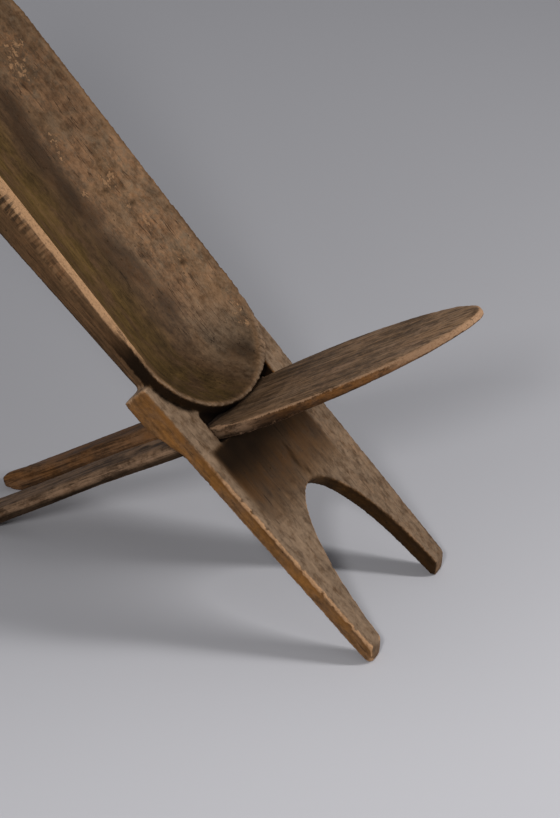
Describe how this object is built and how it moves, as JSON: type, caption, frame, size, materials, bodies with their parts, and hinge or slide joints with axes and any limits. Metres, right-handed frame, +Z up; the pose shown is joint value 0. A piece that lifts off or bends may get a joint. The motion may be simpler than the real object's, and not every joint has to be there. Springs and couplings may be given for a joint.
{
  "type": "palaver chair",
  "caption": "Low reclining chair of two interlocked carved planks: a hollowed back plank on legs with an arch between, and a leaf-shaped seat whose forked tail goes through a slot.",
  "frame": {"origin": "on the floor, under the middle of the chair's bounding box", "axes": "+X the way the sitter faces, +Y to the sitter's left, +Z up; the chair is alike on both sides of the XZ plane"},
  "size_m": [0.9098, 0.3, 0.8141],
  "materials": {
    "back_wood": "hand-hewn hardwood, dark and worn, satin where it is rubbed",
    "seat_wood": "hand-hewn hardwood, dark and worn, with bare edges"
  },
  "bodies": {
    "back": {"back_plank": "back_wood"},
    "seat": {"seat_plank": "seat_wood"}
  },
  "joints": [
    {"name": "seat_slide", "type": "slide", "parent": "back", "child": "seat", "axis": [0.8387, 0, 0.5446], "range_m": [0, 0.54]}
  ]
}
